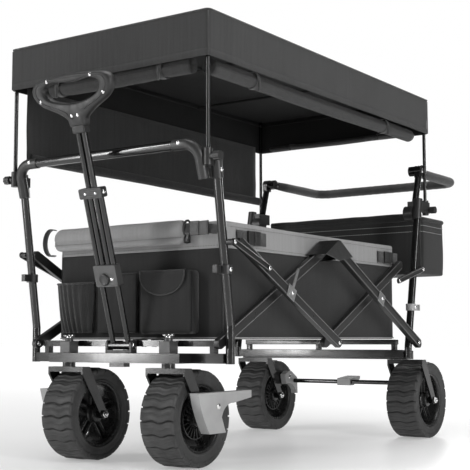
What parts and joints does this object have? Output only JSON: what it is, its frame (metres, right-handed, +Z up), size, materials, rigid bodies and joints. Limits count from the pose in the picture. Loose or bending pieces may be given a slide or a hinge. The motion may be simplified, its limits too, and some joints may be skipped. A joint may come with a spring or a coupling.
{
  "type": "folding camp wagon",
  "caption": "Folding four-wheeled camp wagon with fabric basket, flat canopy with rolled side panels, telescopic pull handle, push bar, swivel casters and foot brakes.",
  "frame": {"origin": "on the floor, under the middle of the whole wagon's box", "axes": "+Z up, +Y from the pull handle to the push bar, +X to the wagon's side"},
  "size_m": [0.6, 1.437, 0.924],
  "materials": {
    "frame_tube": "glossy black powder coat",
    "black_plastic": "matte moulded",
    "grey_plastic": "satin moulded",
    "zinc_steel": "zinc plated",
    "tyre_rubber": "matte",
    "rim_plastic": "semi-gloss moulded",
    "basket_fabric": "woven polyester",
    "roof_fabric": "woven polyester",
    "band_fabric": "woven polyester",
    "webbing": "ribbed webbing",
    "foam": "matte foam"
  },
  "bodies": {
    "front_frame": {"front_uprights": "frame_tube", "front_rails": "frame_tube", "caster_bar": "frame_tube", "stem_housings": "frame_tube", "front_hooks": "black_plastic", "front_elbows": "black_plastic", "front_cross_bar": "frame_tube", "front_poles": "frame_tube", "handle_pivot_bracket": "frame_tube", "basket": "basket_fabric", "basket_band": "band_fabric", "front_flap": "band_fabric", "front_pockets": "basket_fabric", "basket_straps": "webbing", "roof": "roof_fabric", "rolled_panels": "roof_fabric", "left_curtain": "roof_fabric"},
    "front_lower_bars": {"front_lower_bars": "frame_tube"},
    "rear_lower_bars": {"rear_lower_bars": "frame_tube", "rear_crossing_brackets": "zinc_steel"},
    "front_upper_bars": {"front_upper_bars": "frame_tube", "front_crossing_brackets": "zinc_steel"},
    "rear_upper_bars": {"rear_upper_bars": "frame_tube"},
    "centre_caps": {"centre_caps": "black_plastic"},
    "front_links": {"front_links": "frame_tube"},
    "rear_links": {"rear_links": "frame_tube"},
    "rear_frame": {"rear_uprights": "frame_tube", "rear_rails": "frame_tube", "rear_hooks": "grey_plastic", "rear_sleeves": "black_plastic", "rear_poles": "frame_tube", "push_bar_risers": "frame_tube", "rear_forks": "frame_tube", "rear_roll": "roof_fabric", "rear_bag": "basket_fabric"},
    "push_bar": {"push_bar": "frame_tube", "push_grip": "foam"},
    "rear_brake": {"rear_brake_bar": "frame_tube", "rear_brake_levers": "grey_plastic"},
    "caster_left": {"caster_fork_left": "frame_tube"},
    "caster_right": {"caster_fork_right": "frame_tube"},
    "brake_left": {"brake_pedal_left": "grey_plastic"},
    "brake_right": {"brake_pedal_right": "grey_plastic"},
    "wheel_front_left": {"tyre_front_left": "tyre_rubber", "rim_front_left": "rim_plastic"},
    "wheel_front_right": {"tyre_front_right": "tyre_rubber", "rim_front_right": "rim_plastic"},
    "wheel_rear_left": {"tyre_rear_left": "tyre_rubber", "rim_rear_left": "rim_plastic"},
    "wheel_rear_right": {"tyre_rear_right": "tyre_rubber", "rim_rear_right": "rim_plastic"},
    "handle_lower": {"handle_outer_tubes": "frame_tube", "handle_clamp": "black_plastic"},
    "handle_upper": {"handle_slider": "black_plastic", "handle_inner_tubes": "frame_tube", "handle_grip": "black_plastic"},
    "front_knob_left": {"front_knob_left": "black_plastic"},
    "front_knob_right": {"front_knob_right": "black_plastic"},
    "rear_knob_left": {"rear_knob_left": "black_plastic"},
    "rear_knob_right": {"rear_knob_right": "black_plastic"}
  },
  "joints": [
    {"name": "fold", "type": "hinge", "parent": "front_frame", "child": "front_lower_bars", "pos_m": [0, -0.53696, 0.254], "axis": [1, 0, 0], "range_deg": [0, 47.9], "deforming": ["basket", "basket_band", "basket_straps", "roof", "rolled_panels", "left_curtain"]},
    {"name": "top_pivot", "type": "hinge", "parent": "front_lower_bars", "child": "rear_lower_bars", "pos_m": [0, -0.115, 0.46993], "axis": [1, 0, 0], "range_deg": [-95.8, 0]},
    {"name": "rear_pivot", "type": "hinge", "parent": "rear_lower_bars", "child": "rear_frame", "pos_m": [0, 0.30704, 0.254], "axis": [1, 0, 0], "range_deg": [0, 47.9]},
    {"name": "front_crossing", "type": "hinge", "parent": "front_lower_bars", "child": "front_upper_bars", "pos_m": [0, -0.32598, 0.36196], "axis": [1, 0, 0], "range_deg": [-95.8, 0]},
    {"name": "rear_crossing", "type": "hinge", "parent": "rear_lower_bars", "child": "rear_upper_bars", "pos_m": [0, 0.09606, 0.36196], "axis": [1, 0, 0], "range_deg": [0, 95.8]},
    {"name": "cap_pivot", "type": "hinge", "parent": "front_lower_bars", "child": "centre_caps", "pos_m": [0, -0.115, 0.46993], "axis": [1, 0, 0], "range_deg": [-47.9, 0]},
    {"name": "front_link_pivot", "type": "hinge", "parent": "front_frame", "child": "front_links", "pos_m": [0, -0.54646, 0.456], "axis": [1, 0, 0], "range_deg": [0, 91.2]},
    {"name": "rear_link_pivot", "type": "hinge", "parent": "rear_frame", "child": "rear_links", "pos_m": [0, 0.33104, 0.446], "axis": [1, 0, 0], "range_deg": [-81.57, 0]},
    {"name": "caster_swivel_left", "type": "hinge", "parent": "front_frame", "child": "caster_left", "pos_m": [-0.138, -0.55396, 0], "axis": [0, 0, 1], "continuous": true},
    {"name": "caster_swivel_right", "type": "hinge", "parent": "front_frame", "child": "caster_right", "pos_m": [0.138, -0.55396, 0], "axis": [0, 0, 1], "continuous": true},
    {"name": "wheel_spin_front_left", "type": "hinge", "parent": "caster_left", "child": "wheel_front_left", "pos_m": [-0.138, -0.49496, 0.1], "axis": [1, 0, 0], "continuous": true},
    {"name": "wheel_spin_front_right", "type": "hinge", "parent": "caster_right", "child": "wheel_front_right", "pos_m": [0.138, -0.49496, 0.1], "axis": [1, 0, 0], "continuous": true},
    {"name": "wheel_spin_rear_left", "type": "hinge", "parent": "rear_frame", "child": "wheel_rear_left", "pos_m": [-0.242, 0.39704, 0.1], "axis": [1, 0, 0], "continuous": true},
    {"name": "wheel_spin_rear_right", "type": "hinge", "parent": "rear_frame", "child": "wheel_rear_right", "pos_m": [0.242, 0.39704, 0.1], "axis": [1, 0, 0], "continuous": true},
    {"name": "brake_press_left", "type": "hinge", "parent": "caster_left", "child": "brake_left", "pos_m": [-0.208, -0.48996, 0.126], "axis": [1, 0, 0], "range_deg": [0, 12]},
    {"name": "brake_press_right", "type": "hinge", "parent": "caster_right", "child": "brake_right", "pos_m": [0.208, -0.48996, 0.126], "axis": [1, 0, 0], "range_deg": [0, 12]},
    {"name": "rear_brake_press", "type": "hinge", "parent": "rear_frame", "child": "rear_brake", "pos_m": [0, 0.41604, 0.152], "axis": [1, 0, 0], "range_deg": [-12, 0]},
    {"name": "handle_tilt", "type": "hinge", "parent": "front_frame", "child": "handle_lower", "pos_m": [0, -0.54096, 0.25], "axis": [1, 0, 0], "range_deg": [0, 70]},
    {"name": "handle_extend", "type": "slide", "parent": "handle_lower", "child": "handle_upper", "axis": [0, -0.285, 0.9585], "range_m": [0, 0.14]},
    {"name": "push_bar_tilt", "type": "hinge", "parent": "rear_frame", "child": "push_bar", "pos_m": [0, 0.42304, 0.726], "axis": [1, 0, 0], "range_deg": [-20, 65]},
    {"name": "front_knob_turn_left", "type": "hinge", "parent": "front_frame", "child": "front_knob_left", "pos_m": [-0.29, -0.59696, 0.623], "axis": [1, 0, 0], "range_deg": [0, 270]},
    {"name": "front_knob_turn_right", "type": "hinge", "parent": "front_frame", "child": "front_knob_right", "pos_m": [0.29, -0.59696, 0.623], "axis": [1, 0, 0], "range_deg": [0, 270]},
    {"name": "rear_knob_turn_left", "type": "hinge", "parent": "rear_frame", "child": "rear_knob_left", "pos_m": [-0.29, 0.41504, 0.613], "axis": [1, 0, 0], "range_deg": [0, 270]},
    {"name": "rear_knob_turn_right", "type": "hinge", "parent": "rear_frame", "child": "rear_knob_right", "pos_m": [0.29, 0.41504, 0.613], "axis": [1, 0, 0], "range_deg": [0, 270]}
  ],
  "couplings": [
    {"joint": "top_pivot", "follows": "fold", "ratio": -2},
    {"joint": "rear_pivot", "follows": "fold", "ratio": 1},
    {"joint": "front_crossing", "follows": "fold", "ratio": -2},
    {"joint": "rear_crossing", "follows": "fold", "ratio": 2},
    {"joint": "cap_pivot", "follows": "fold", "ratio": -1},
    {"joint": "front_link_pivot", "follows": "fold", "ratio": 1.904},
    {"joint": "rear_link_pivot", "follows": "fold", "ratio": -1.703}
  ]
}
